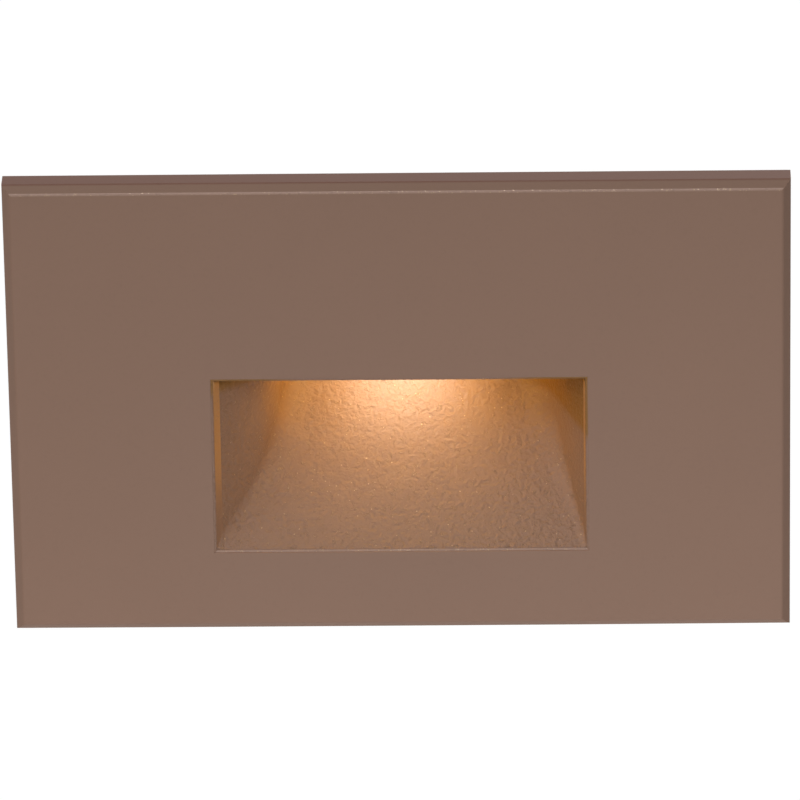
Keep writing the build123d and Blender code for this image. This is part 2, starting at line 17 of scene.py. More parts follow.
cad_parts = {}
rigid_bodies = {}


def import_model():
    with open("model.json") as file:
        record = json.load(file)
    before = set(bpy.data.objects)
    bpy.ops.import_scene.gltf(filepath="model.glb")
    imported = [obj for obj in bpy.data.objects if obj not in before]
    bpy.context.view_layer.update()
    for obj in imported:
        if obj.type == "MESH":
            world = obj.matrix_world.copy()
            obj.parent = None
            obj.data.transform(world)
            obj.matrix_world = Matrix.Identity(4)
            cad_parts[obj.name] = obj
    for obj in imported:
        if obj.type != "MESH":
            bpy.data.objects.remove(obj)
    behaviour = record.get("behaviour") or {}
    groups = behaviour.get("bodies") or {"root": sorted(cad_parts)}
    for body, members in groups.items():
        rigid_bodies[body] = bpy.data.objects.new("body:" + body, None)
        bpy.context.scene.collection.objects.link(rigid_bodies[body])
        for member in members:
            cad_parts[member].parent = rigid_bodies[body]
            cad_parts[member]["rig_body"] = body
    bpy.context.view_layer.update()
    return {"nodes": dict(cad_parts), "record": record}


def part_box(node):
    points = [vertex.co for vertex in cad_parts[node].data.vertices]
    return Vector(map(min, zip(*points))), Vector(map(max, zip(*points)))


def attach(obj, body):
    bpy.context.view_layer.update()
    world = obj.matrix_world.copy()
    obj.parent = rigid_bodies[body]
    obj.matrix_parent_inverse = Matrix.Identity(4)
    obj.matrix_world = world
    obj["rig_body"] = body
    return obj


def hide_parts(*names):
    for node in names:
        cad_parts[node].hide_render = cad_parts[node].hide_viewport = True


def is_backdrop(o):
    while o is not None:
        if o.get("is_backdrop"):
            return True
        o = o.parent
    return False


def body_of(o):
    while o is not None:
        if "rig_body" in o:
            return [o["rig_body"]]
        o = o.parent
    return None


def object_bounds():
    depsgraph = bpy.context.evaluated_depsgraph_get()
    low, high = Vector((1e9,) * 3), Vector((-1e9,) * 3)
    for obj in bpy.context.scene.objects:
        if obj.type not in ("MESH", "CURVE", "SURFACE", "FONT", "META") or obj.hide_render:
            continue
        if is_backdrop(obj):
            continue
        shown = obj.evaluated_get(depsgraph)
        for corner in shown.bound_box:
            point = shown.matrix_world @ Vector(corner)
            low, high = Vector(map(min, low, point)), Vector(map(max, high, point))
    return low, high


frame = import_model()
nodes = frame["nodes"]
MM = 0.001

# %% [markdown]
# ## Camera
# The plate's four corners in the photograph fix the camera: it stands almost 25 degrees above the
# plate's middle, about one and a half metres away, behind a long lens, and leans by one degree. A
# camera could be placed by eye, but with a fitted one, what is still different from the photograph
# is the shape or the finish.

# %% Camera at the photograph's viewing angle
def linked(name, data):
    """A new object for a mesh, lamp or camera, placed in the scene."""
    made = bpy.data.objects.new(name, data)
    bpy.context.scene.collection.objects.link(made)
    return made


plate_low, plate_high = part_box("face_plate")
face_centre = Vector((0, plate_low.y, 0))
azimuth, elevation, lean = math.radians(1.258), math.radians(24.647), math.radians(-0.953)
distance, raised_mm, shifted_mm = 1.5131, 1.532, 0.112

back = Vector((
    math.sin(azimuth) * math.cos(elevation),
    -math.cos(azimuth) * math.cos(elevation),
    math.sin(elevation),
))
level = Vector((math.cos(azimuth), math.sin(azimuth), 0))
upright = back.cross(level)
right = level * math.cos(lean) + upright * math.sin(lean)
above = upright * math.cos(lean) - level * math.sin(lean)

camera = linked("camera", bpy.data.cameras.new("camera"))
camera.data.sensor_width = 36
camera.data.lens = 419.24
camera.data.clip_start = 0.05
camera.location = (
    face_centre + back * distance + above * raised_mm * MM + right * shifted_mm * MM
)
camera.rotation_mode = "QUATERNION"
axes = [[right[i], above[i], back[i]] for i in range(3)]
camera.rotation_quaternion = Matrix(axes).to_quaternion()
bpy.context.scene.camera = camera
print("camera at", [round(v, 3) for v in camera.location])

# %% [markdown]
# ## Nodes with their values
# A material or a Geometry Nodes tree is a graph: boxes with inputs and outputs, joined by links.
# It could be drawn by hand in the editor, but a script can be read, repeated and changed. A node
# needs a kind, its settings, and for each input a plain value or a link, so one helper takes all
# of that at once. The others name the steps that come back often: a sum, a ramp from one value
# to another, a mix of two colours, and a place on the object.

# %% A helper that makes one node
def feed(tree, socket, value):
    """Link another node's output to an input, or write a plain number or colour on it."""
    if isinstance(value, bpy.types.NodeSocket):
        tree.links.new(value, socket)
    elif socket.type == "RGBA":
        socket.default_value = (*value, 1)
    else:
        socket.default_value = value


def add_node(tree, kind, label="", sockets=None, **settings):
    """A node with its label, its settings, and a value or a link for each input in sockets."""
    node = tree.nodes.new(kind)
    node.label = label
    for name, value in settings.items():
        setattr(node, name, value)
    for name, value in (sockets or {}).items():
        feed(tree, node.inputs[name], value)
    return node


print("one helper for every kind of node")


# %% Helpers for the steps that come back often
def calculate(tree, operation, *values, label=""):
    """A sum of one to three values, each of them a number or another node's output."""
    node = add_node(tree, "ShaderNodeMath", label, dict(enumerate(values)), operation=operation)
    return node.outputs[0]


def calculate_vector(tree, operation, first, second):
    """The same for a vector or a colour. To scale it, the second value is a number."""
    sockets = {0: first, "Scale" if operation == "SCALE" else 1: second}
    return add_node(tree, "ShaderNodeVectorMath", "", sockets, operation=operation).outputs[0]


def ramp(tree, value, start, end, low=0.0, high=1.0, label="", smooth=False):
    """Runs from low to high while the value runs from start to end, and stays there."""
    sockets = {
        "Value": value, "From Min": start, "From Max": end, "To Min": low, "To Max": high,
    }
    shape = "SMOOTHSTEP" if smooth else "LINEAR"
    node = add_node(tree, "ShaderNodeMapRange", label, sockets, interpolation_type=shape)
    return node.outputs["Result"]


def mixed(tree, factor, first, second, label="", blend="MIX"):
    """Two colours mixed by a factor from 0 to 1. A Mix node keeps its colours at 6 and 7."""
    sockets = {0: factor, 6: first, 7: second}
    node = add_node(tree, "ShaderNodeMix", label, sockets, data_type="RGBA", blend_type=blend)
    return node.outputs[2]


def along(tree, axis, of="Object"):
    """Where a point is on one axis, in metres, or with of="Normal", how far it faces that way."""
    place = add_node(tree, "ShaderNodeTexCoord").outputs[of]
    return add_node(tree, "ShaderNodeSeparateXYZ", "", {0: place}).outputs[axis]


def plain_light_path(tree):
    """1 for camera, glossy and transmission rays, 0 for all other rays."""
    path = add_node(tree, "ShaderNodeLightPath").outputs
    seen = calculate(tree, "MAXIMUM", path["Is Camera Ray"], path["Is Glossy Ray"])
    return calculate(tree, "MAXIMUM", seen, path["Is Transmission Ray"])


print("helpers ready for shaders and Geometry Nodes")

# %% [markdown]
# ## World and floor
# The photograph is a cut-out on pure white with very soft light. A pale floor well below the
# object keeps its shadow, and turns white for the camera through Light Path instead of more
# light, which would bleach the paint. Seen from below it is clear, so that views from there
# show the set screws. The world itself is dim, because light from every side would also fill
# the scoop, whose upper corners are dark.

# %% A world that is dim on the object and white to the eye
def emptied(owner):
    """The node tree of a material or world, with nothing in it."""
    owner.use_nodes = True
    owner.node_tree.nodes.clear()
    return owner.node_tree


world_strength = 0.10
world = bpy.data.worlds.new("studio")
bpy.context.scene.world = world
tree = emptied(world)
soft = add_node(
    tree, "ShaderNodeBackground", "light on the object",
    {"Color": (1, 1, 1), "Strength": world_strength},
)
white = add_node(tree, "ShaderNodeBackground", "seen white", {"Color": (1, 1, 1)})
sky = add_node(
    tree, "ShaderNodeMixShader", "",
    {0: plain_light_path(tree), 1: soft.outputs[0], 2: white.outputs[0]},
)
add_node(tree, "ShaderNodeOutputWorld", "", {"Surface": sky.outputs[0]})
print("world strength", world_strength)

# %% A pale floor that keeps the shadow
floor_z, reach = -0.40, 6.0
floor_grey, floor_glow, floor_share = 0.66, 1.08, 0.9
corners = [(-reach, -reach), (reach, -reach), (reach, reach), (-reach, reach)]
floor_mesh = bpy.data.meshes.new("floor")
floor_mesh.from_pydata([(x, y, floor_z) for x, y in corners], [], [(0, 1, 2, 3)])
floor = linked("floor", floor_mesh)
floor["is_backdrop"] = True

floor_paint = bpy.data.materials.new("white floor")
tree = emptied(floor_paint)
matt = add_node(tree, "ShaderNodeBsdfDiffuse", "", {"Color": (floor_grey,) * 3})
shine = add_node(tree, "ShaderNodeEmission", "", {"Strength": floor_glow})
share = calculate(tree, "MULTIPLY", plain_light_path(tree), floor_share)
seen = add_node(
    tree, "ShaderNodeMixShader", "", {0: share, 1: matt.outputs[0], 2: shine.outputs[0]}
)
side_seen = add_node(tree, "ShaderNodeNewGeometry").outputs["Backfacing"]
nothing = add_node(tree, "ShaderNodeBsdfTransparent").outputs[0]
from_below = add_node(
    tree, "ShaderNodeMixShader", "clear from below", {0: side_seen, 1: seen.outputs[0], 2: nothing}
)
add_node(tree, "ShaderNodeOutputMaterial", "", {"Surface": from_below.outputs[0]})
floor.data.materials.append(floor_paint)
print("floor at", floor_z)

# %% [markdown]
# ## Studio lamps
# Large area lamps give the soft light of a catalogue picture. A sun lamp would be simpler, but
# its parallel rays make hard edges. Two lamps stand above, and the left one of them also draws
# the bevel at that side. A low one near the plate lifts its lower half, and one behind shows the
# housing in the other views.

# %% Soft lamps
def soft_lamp(name, place, aim, size, power, colour=(1, 1, 1), spread=180):
    data = bpy.data.lights.new(name, "AREA")
    data.shape = "RECTANGLE"
    data.size, data.size_y = size
    data.energy = power
    data.color = colour
    data.spread = math.radians(spread)
    lamp = linked(name, data)
    lamp.location = place
    lamp.rotation_mode = "QUATERNION"
    lamp.rotation_quaternion = (Vector(aim) - Vector(place)).to_track_quat("-Z", "Y")
    lamp.visible_camera = False
    return lamp


def from_the_plate(turn, rise, away):
    """A place seen from the plate's middle: degrees to the right, degrees up, metres away."""
    turn, rise = math.radians(turn), math.radians(rise)
    return away * Vector((
        math.sin(turn) * math.cos(rise), -math.cos(turn) * math.cos(rise), math.sin(rise)
    ))


# name, place, side in metres, power in watts
studio_lamps = (
    ("key lamp", from_the_plate(-45, 45, 2.2), 1.5, 20.5),
    ("front lamp", from_the_plate(5, 36, 2.2), 0.9, 14.6),
    ("low lamp", from_the_plate(12, -50, 0.44), 0.3, 0.82),
    ("rear lamp", (0.8, 1.8, 1.0), 1.2, 14.0),
)
for name, place, side, power in studio_lamps:
    soft_lamp(name, place, (0, 0, 0), (side, side), power)
bpy.context.scene.view_settings.view_transform = "Standard"

# %% [markdown]
# ## Effects that several finishes share
# Real surfaces are never one flat colour. Powder coat levels into soft, wandering bumps under a
# millimetre across, metal keeps the lines of the roller, and every piece has faint patches of
# lighter and darker tone. Each of these effects is a node group with named inputs, built once,
# so that one change reaches every finish that uses it. The groups give out only values, and
# the shader itself stays in each material. The first is the patches of tone: a cloudy noise
# that lifts or lowers both the colour and the roughness.

# %% Group: faint patches of tone
NUMBER, COLOUR, VECTOR = "NodeSocketFloat", "NodeSocketColor", "NodeSocketVector"


def new_group(name, inputs, outputs):
    """A shader node group with its inputs, its outputs and the point on the object."""
    group = bpy.data.node_groups.new(name, "ShaderNodeTree")
    for label, kind, value in inputs:
        socket = group.interface.new_socket(label, in_out="INPUT", socket_type=kind)
        socket.default_value = value
    for label, kind in outputs:
        group.interface.new_socket(label, in_out="OUTPUT", socket_type=kind)
    given = add_node(group, "NodeGroupInput").outputs
    result = add_node(group, "NodeGroupOutput").inputs
    return group, given, result, add_node(group, "ShaderNodeTexCoord").outputs["Object"]


patches, given, result, place = new_group(
    "patches of tone",
    [("Colour", COLOUR, (0.5, 0.5, 0.5, 1)), ("Patches per metre", NUMBER, 60.0),
     ("Amount", NUMBER, 0.08), ("Roughness", NUMBER, 0.5)],
    [("Colour", COLOUR), ("Roughness", NUMBER)],
)
clouds = add_node(
    patches, "ShaderNodeTexNoise", "clouds",
    {"Vector": place, "Scale": given["Patches per metre"], "Detail": 4.0},
)
centred = calculate(patches, "SUBTRACT", clouds.outputs["Fac"], 0.5)
swing = calculate(patches, "MULTIPLY", centred, given["Amount"])
gain = calculate(patches, "MULTIPLY_ADD", swing, 4.0, 1.0)
feed(patches, result["Colour"], calculate_vector(patches, "SCALE", given["Colour"], gain))
feed(patches, result["Roughness"], calculate(patches, "ADD", given["Roughness"], swing))
print("group:", patches.name)

# %% [markdown]
# ### Powder-coat grain
# Cured powder flows until surface tension stops it, which leaves short worm-like ridges. Noise
# whose own coordinates are pushed about by a second noise wanders in the same way, so the group
# warps one texture with another. Where that noise crosses its middle value it draws thin lines,
# and a third noise breaks them into short squiggles. Its deepest places are pits, and a few
# metal flakes lie in the coat.

# %% Group: powder-coat grain
coat_grain, given, result, place = new_group(
    "powder-coat grain",
    [("Grains per metre", NUMBER, 1350.0), ("Wander", NUMBER, 0.0006),
     ("Flake share", NUMBER, 0.06)],
    [("Height", NUMBER), ("Ridges", NUMBER), ("Flakes", NUMBER), ("Pits", NUMBER)],
)
per_metre = given["Grains per metre"]


def grain_noise(label, where, share, **detail):
    """A noise whose bumps are as fine as the grain, or coarser by a share under 1."""
    scale = calculate(coat_grain, "MULTIPLY", per_metre, share) if share != 1 else per_metre
    return add_node(
        coat_grain, "ShaderNodeTexNoise", label, {"Vector": where, "Scale": scale, **detail}
    ).outputs


drift = grain_noise("drift", place, 0.6, Detail=1.0)["Color"]
offset = calculate_vector(coat_grain, "SUBTRACT", drift, (0.5, 0.5, 0.5))
pushed = calculate_vector(coat_grain, "SCALE", offset, given["Wander"])
moved = calculate_vector(coat_grain, "ADD", place, pushed)
worms = grain_noise("worms", moved, 1, Detail=2.0, Roughness=0.45)["Fac"]

# %% Ridges, relief and pits of the grain
off_line = calculate(coat_grain, "ABSOLUTE", calculate(coat_grain, "SUBTRACT", worms, 0.5))
thread = ramp(coat_grain, off_line, 0.035, 0.0, label="thin ridge", smooth=True)
gaps = grain_noise("gaps in the ridges", place, 0.9)["Fac"]
stands = ramp(coat_grain, gaps, 0.54, 0.64, label="where ridges stand", smooth=True)
squiggle = calculate(coat_grain, "MULTIPLY", thread, stands)
feed(coat_grain, result["Ridges"], squiggle)
feed(coat_grain, result["Height"], calculate(coat_grain, "MULTIPLY_ADD", squiggle, 0.35, worms))
feed(coat_grain, result["Pits"], ramp(coat_grain, worms, 0.42, 0.30, label="pits"))
print("nodes in the grain so far:", len(coat_grain.nodes))

# %% Flakes in the coat
cells_per_metre = calculate(coat_grain, "MULTIPLY", per_metre, 4.5)
cells = add_node(
    coat_grain, "ShaderNodeTexVoronoi", "flakes", {"Vector": place, "Scale": cells_per_metre}
)
drawn = add_node(coat_grain, "ShaderNodeSeparateColor", "", {0: cells.outputs["Color"]})
flash = calculate(coat_grain, "LESS_THAN", drawn.outputs[0], given["Flake share"])
feed(coat_grain, result["Flakes"], flash)
print("group:", coat_grain.name)

# %% [markdown]
# ### Rolled metal lines
# Rolled sheet and drawn wire keep fine lines in one direction. A noise that is drawn out on one
# axis looks the same, so the input Stretch holds a factor for each axis: the axis with the
# smallest factor is the one that the lines follow. It could be a picture of brushed metal, but
# noise has no seams and no pixels.

# %% Group: rolled metal lines
rolled, given, result, place = new_group(
    "rolled lines",
    [("Lines per metre", NUMBER, 4000.0), ("Stretch", VECTOR, (0.02, 1.0, 1.0))],
    [("Height", NUMBER), ("Streak", NUMBER)],
)
stretched = calculate_vector(rolled, "MULTIPLY", place, given["Stretch"])
lines = add_node(
    rolled, "ShaderNodeTexNoise", "lines",
    {"Vector": stretched, "Scale": given["Lines per metre"], "Detail": 3.0},
).outputs["Fac"]
feed(rolled, result["Height"], lines)
feed(rolled, result["Streak"], ramp(rolled, lines, 0.3, 0.7, label="streak"))
print("group:", rolled.name)

# %% [markdown]
# ## Finishes
# A finish starts from the colour and roughness of the real coating, passes through the shared
# groups, and ends in one Principled shader. A helper lays out that common part. What only one
# finish has, such as the flakes of the bronze coat, is added to it afterwards.

# %% Helpers for the common part of a finish
finishes = {}


def place_group(tree, group, values):
    return add_node(tree, "ShaderNodeGroup", group.name, values, node_tree=group).outputs


def start_finish(slot, colour, roughness, metallic, patches_per_metre, amount):
    """A material with tone patches and one Principled shader, kept under its slot's name."""
    finishes[slot] = bpy.data.materials.new(slot.replace("_", " "))
    tree = emptied(finishes[slot])
    tone = place_group(tree, patches, {
        "Colour": colour, "Patches per metre": patches_per_metre,
        "Amount": amount, "Roughness": roughness,
    })
    shader = add_node(tree, "ShaderNodeBsdfPrincipled", "", {
        "Base Color": tone["Colour"], "Metallic": metallic, "Roughness": tone["Roughness"],
    })
    add_node(tree, "ShaderNodeOutputMaterial", "", {"Surface": shader.outputs["BSDF"]})
    return tree, shader, tone


def add_relief(tree, shader, height, depth):
    """Bumps on the surface: a height from 0 to 1, and what 1 is in metres."""
    bump = add_node(tree, "ShaderNodeBump", "", {"Distance": depth, "Height": height})
    feed(tree, shader.inputs["Normal"], bump.outputs["Normal"])


# %% [markdown]
# ### Bronze powder coat
# The plate and the scoop carry the same matt bronze coat, but not with the same look. On the plate
# soft light hides the grain. Inside the scoop the lamp grazes the coat, so every worm of the grain
# casts a shadow and a few metal flakes flash; the ridges of the grain also get a painted highlight,
# and its pits painted shade. At the mouth's left edge and along the rims the coat is paler and a
# little shinier, which is painted lamp light and painted highlight. Four separate materials would
# drift apart, so one helper makes them all, and they stay one paint.

# %% A helper for the looks of one bronze coat
bronze = (0.225, 0.132, 0.092)
flake_colour = (0.42, 0.29, 0.19)
flake_gloss = -0.30


def bronze_paint(
    slot, colour, roughness, relief, flake_share, pit_shade_tone, ridge_highlight_tone, specular=0.35, metallic=0.0,
):
    """The coat with its grain: relief in metres, and how much painted shade darkens its pits and
    painted highlight lightens its ridges.
    """
    tree, shader, tone = start_finish(slot, colour, roughness, metallic, 35.0, 0.02)
    grain = place_group(tree, coat_grain, {"Flake share": flake_share})
    shader.inputs["Specular IOR Level"].default_value = specular
    smoother = calculate(tree, "MULTIPLY_ADD", grain["Flakes"], flake_gloss, tone["Roughness"])
    feed(tree, shader.inputs["Roughness"], smoother)
    # painted shade: the grain's pits are darkened
    pit_shaded = mixed(
        tree, grain["Pits"], tone["Colour"], (pit_shade_tone,) * 3, "pits are darker", "MULTIPLY"
    )
    # painted highlight: the grain's ridges are lightened towards the flake colour; the flakes
    # themselves are the coat's own
    shown = calculate(tree, "MULTIPLY_ADD", grain["Ridges"], ridge_highlight_tone, grain["Flakes"])
    coat = mixed(tree, shown, pit_shaded, flake_colour, "flakes and ridges are lighter")
    feed(tree, shader.inputs["Base Color"], coat)
    add_relief(tree, shader, grain["Height"], relief)
    return tree, shader, coat


print("bronze:", bronze)

# %% [markdown]
# ### The plate's coat
# The plate's top is painted a shade darker than its foot, and the rim's upper side is painted
# darker again: both are painted shade. Lamps could draw that shade, but lamps that did so would
# also change the scoop. So a ramp on the height shades the plate, and a mask on the normal, which
# says how far a surface faces up, finds the rim's upper side.

# %% Bronze coat of the plate
tree, shader, coat = bronze_paint(
    "bronze_coat", bronze, roughness=0.62, relief=0.000015, flake_share=0.0,
    pit_shade_tone=0.98, ridge_highlight_tone=0.0,
)
# painted shade: the plate's colour grows darker towards its top
shade = ramp(tree, along(tree, "Z"), plate_low.z, plate_high.z, 1.06, 0.94, "darker at the top")
shaded = calculate_vector(tree, "SCALE", coat, shade)
# painted shade: surfaces that face up, such as the rim's upper side, are made darker again
facing_up = along(tree, "Z", of="Normal")
upper_side_shade_mask = ramp(tree, facing_up, 0.80, 0.95, label="where the surface faces up", smooth=True)
top_shaded_coat = mixed(tree, upper_side_shade_mask, shaded, (0.76, 0.60, 0.58), "painted shade on the upper side", "MULTIPLY")
feed(tree, shader.inputs["Base Color"], top_shaded_coat)
print("bronze on the plate from z", round(plate_low.z, 4), "to", round(plate_high.z, 4))

# %% [markdown]
# ### The scoop's coat
# The scoop's upper corners and cheeks are painted a deeper amber than its floor. This is painted
# shade: little of the studio light reaches there, and the lamp's warm light tints what is left.
# The real cause isn't known: it may be a thinner coat, or light that has bounced there. It is
# painted in two places, because lamps alone didn't give that colour. One mask is strong where a
# point is both far from the middle and high up, and it leans, so that it reaches deeper at the
# right. The other finds the cheeks by how far they face sideways, and the stronger of the two
# counts.

# %% Bronze coat of the scoop
tree, shader, coat = bronze_paint(
    "bronze_grain", bronze, roughness=0.60, relief=0.00031, flake_share=0.0018,
    pit_shade_tone=0.94, ridge_highlight_tone=0.42,
)
sideways = calculate(tree, "ABSOLUTE", along(tree, "X"), label="distance from the middle")
at_sides = ramp(tree, sideways, 14.0 * MM, 24.0 * MM, label="only at the cheeks", smooth=True)
leaning = calculate(
    tree, "MULTIPLY_ADD", along(tree, "X"), 0.13, along(tree, "Z"), label="deeper at the right"
)
near_top = ramp(tree, leaning, -2.6 * MM, -0.2 * MM, label="only in the upper part", smooth=True)
in_corner = calculate(tree, "MULTIPLY", at_sides, near_top)

facing_side = calculate(tree, "ABSOLUTE", along(tree, "X", of="Normal"), label="faces sideways")
on_cheek = ramp(
    tree, facing_side, 0.45, 0.85, high=0.24, label="painted amber shade on the cheeks", smooth=True
)
# painted shade in amber, strongest in the upper corners and on the cheeks
painted_amber_shade = calculate(tree, "MAXIMUM", in_corner, on_cheek)
amber = mixed(tree, painted_amber_shade, coat, (0.200, 0.092, 0.020), "painted amber shade in the corners and on the cheeks")
feed(tree, shader.inputs["Base Color"], amber)
print("the scoop's coat has", len(tree.nodes), "nodes")

# %% [markdown]
# ### The strips and rims
# Beside the mouth a narrow strip leads into the scoop, and at the left it shows yellow at its top
# and plain bronze at its foot. The yellow is painted light, the lamp's warm glow on the strip,
# strongest at the top. A ramp on the height mixes the two coats. The fine rounds at the plate's
# upper edge and under the mouth show as thin pale lines, so they get a lighter and smoother coat
# with more flakes: a painted highlight.

# %% Bronze coat of the strips and rims
# the orange of bronze_edge is painted light: the lamp's warm glow on the strips beside the mouth
tree, shader, coat = bronze_paint(
    "bronze_edge", (0.42, 0.215, 0.080), roughness=0.45, relief=0.00006, flake_share=0.01,
    pit_shade_tone=0.90, ridge_highlight_tone=0.2, specular=0.4, metallic=0.2,
)
# painted light: the glow on the strip is strongest at its top and fades to the plain coat below
painted_glow = ramp(
    tree, along(tree, "Z"), -21.0 * MM, -7.0 * MM, low=0.15, label="worn most at the top",
    smooth=True,
)
fading = mixed(tree, painted_glow, bronze, coat, "plain coat lower down")
feed(tree, shader.inputs["Base Color"], fading)

# the paler colour of bronze_rim is a painted highlight on the fine rounds of the plate and under
# the mouth
bronze_paint(
    "bronze_rim", (0.262, 0.165, 0.124), roughness=0.45, relief=0.00003, flake_share=0.04,
    pit_shade_tone=0.86, ridge_highlight_tone=0.6, specular=0.4, metallic=0.1,
)
print("bronze coats:", sorted(finishes))

# %% [markdown]
# ### Metals
# Zinc plate on screws is bright and faintly blue, galvanised sheet shows crystals of zinc a few
# millimetres wide, the die-cast cover has the dull skin of the mould, and the extruded heat
# spreader keeps its drawing lines. They share the rolled-line group at different scales, and a
# cell texture adds the crystals to the sheet.

# %% Metal finishes
def metal(
    slot, colour, roughness, lines_per_metre, stretch, depth, patches_per_metre=120.0, amount=0.06,
):
    tree, shader, tone = start_finish(slot, colour, roughness, 1.0, patches_per_metre, amount)
    grain = place_group(tree, rolled, {"Lines per metre": lines_per_metre, "Stretch": stretch})
    streaky = calculate(tree, "MULTIPLY_ADD", grain["Streak"], 0.10, tone["Roughness"])
    feed(tree, shader.inputs["Roughness"], streaky)
    add_relief(tree, shader, grain["Height"], depth)
    return tree, shader, tone


# the screws are made from drawn wire, so their lines follow the axis that they stand on
drawn_x, rolled_x, wire_y, wire_z = (0.02, 1, 1), (0.05, 1, 1), (1, 0.15, 1), (1, 1, 0.15)
even = (1, 1, 1)
metal("zinc_steel", (0.60, 0.61, 0.62), 0.28, 5000.0, wire_y, 0.000006)
metal("green_steel", (0.05, 0.30, 0.11), 0.30, 5000.0, wire_y, 0.000006)
metal("dark_steel", (0.09, 0.09, 0.095), 0.38, 5000.0, wire_z, 0.000006)
metal("bare_aluminium", (0.74, 0.74, 0.75), 0.32, 4000.0, drawn_x, 0.000008)
metal("cast_aluminium", (0.55, 0.55, 0.56), 0.50, 1500.0, even, 0.00004, 25.0, 0.05)
tree, shader, tone = metal(
    "galvanised_steel", (0.52, 0.53, 0.54), 0.36, 2500.0, rolled_x, 0.000008, amount=0.04
)
print("metals:", [slot for slot in finishes if "bronze" not in slot])

# %% Zinc crystals on the galvanised sheet
sheet_place = add_node(tree, "ShaderNodeTexCoord").outputs["Object"]
crystals = add_node(
    tree, "ShaderNodeTexVoronoi", "zinc crystals", {"Vector": sheet_place, "Scale": 260.0}
)
facet = add_node(tree, "ShaderNodeSeparateColor", "", {0: crystals.outputs["Color"]})
facet_tone = ramp(tree, facet.outputs[0], 0.0, 1.0, 0.82, 1.08)
facet_colour = calculate_vector(tree, "SCALE", tone["Colour"], facet_tone)
feed(tree, shader.inputs["Base Color"], facet_colour)
print("finishes so far:", len(finishes))

# %% [markdown]
# ### Rubber, plastic and coloured parts
# Gaskets are closed-cell foam or silicone, the driver's parts are dipped or moulded, and the
# leads are plain coloured insulation. Each gets its own tone patches and a fine moulded relief,
# so that none of them is one flat colour. They differ only in numbers, so a table holds them.

# %% Rubber and plastic finishes
def moulded(slot, colour, roughness, grains_per_metre, depth, amount):
    tree, shader, tone = start_finish(slot, colour, roughness, 0.0, 90.0, amount)
    grain = place_group(
        tree, coat_grain, {"Grains per metre": grains_per_metre, "Wander": 0.0002}
    )
    add_relief(tree, shader, grain["Height"], depth)


# slot, colour, roughness, grains per metre, relief in metres, amount of the tone patches
moulded_finishes = (
    ("black_foam", (0.022, 0.022, 0.023), 0.90, 2600.0, 0.00025, 0.10),
    ("grey_silicone", (0.20, 0.20, 0.20), 0.55, 1800.0, 0.00002, 0.04),
    ("white_silicone", (0.62, 0.60, 0.56), 0.50, 1800.0, 0.00002, 0.04),
    ("black_silicone", (0.028, 0.028, 0.030), 0.48, 1800.0, 0.00003, 0.04),
    ("white_plastic", (0.75, 0.74, 0.71), 0.42, 1500.0, 0.00002, 0.04),
    ("pad_grey", (0.35, 0.37, 0.42), 0.75, 2200.0, 0.00004, 0.04),
    ("led_board_white", (0.80, 0.80, 0.78), 0.35, 1200.0, 0.00001, 0.04),
    ("circuit_green", (0.02, 0.16, 0.07), 0.30, 900.0, 0.00001, 0.12),
    ("capacitor_sleeve", (0.02, 0.03, 0.09), 0.28, 900.0, 0.00001, 0.04),
    ("coil_copper", (0.42, 0.17, 0.06), 0.30, 2400.0, 0.00002, 0.10),
    ("chip_black", (0.03, 0.03, 0.03), 0.50, 2400.0, 0.00002, 0.04),
    ("varistor_blue", (0.02, 0.09, 0.35), 0.22, 700.0, 0.00005, 0.04),
    ("lead_red", (0.45, 0.02, 0.02), 0.35, 1200.0, 0.00001, 0.04),
    ("lead_black", (0.022, 0.022, 0.022), 0.35, 1200.0, 0.00001, 0.04),
)
for row in moulded_finishes:
    moulded(*row)
print("moulded finishes:", len(moulded_finishes))

# %% [markdown]
# ### Lit lens and diodes
# The lamp itself can't be seen from the room, only what it lights. The frosted lens glows warm
# white and fades to amber at its ends, and the diodes above it are one bright warm colour. A
# lens that really scatters the diodes' light would need many samples to come out clean, so both
# give off light themselves.

# %% Lens and diodes that give light
lens_low, lens_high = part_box("lens")
lens_middle = (lens_low + lens_high) / 2
glow_reach = 0.0145


def glowing(slot, colour, roughness, glow, strength, end_glow=None):
    """A frosted finish that gives light, in one colour or fading to another at its ends."""
    tree, shader, tone = start_finish(slot, colour, roughness, 0.0, 200.0, 0.02)
    grain = place_group(tree, coat_grain, {"Grains per metre": 2500.0})
    add_relief(tree, shader, grain["Height"], 0.00002)
    if end_glow:
        outwards = calculate(tree, "ABSOLUTE", along(tree, "X"))
        fade = ramp(tree, outwards, 0.0, glow_reach, smooth=True)
        glow = mixed(tree, fade, glow, end_glow)
    feed(tree, shader.inputs["Emission Color"], glow)
    shader.inputs["Emission Strength"].default_value = strength


glowing("lit_lens", (0.90, 0.80, 0.62), 0.45, (1.0, 0.82, 0.52), 2.0, (1.0, 0.62, 0.22))
glowing("led_phosphor", (0.85, 0.55, 0.08), 0.25, (1.0, 0.85, 0.55), 20.0)
print("finishes:", len(finishes))

# %% [markdown]
# ### Lamps under the lens
# Most of the light in the scoop comes from three lamps just under the lens, because a mesh that
# emits can't be given a beam. White diodes under yellow phosphor are white straight ahead and
# orange to the sides. So a wide lamp is orange, a narrower one yellow, and the narrowest, tipped
# towards the back of the scoop, is nearly white. They ride on the light's body, and go with it.

# %% Lamps under the lens
under_lens = lens_middle - Vector((0, 0, 3.1 * MM))
aim_below = -10.9
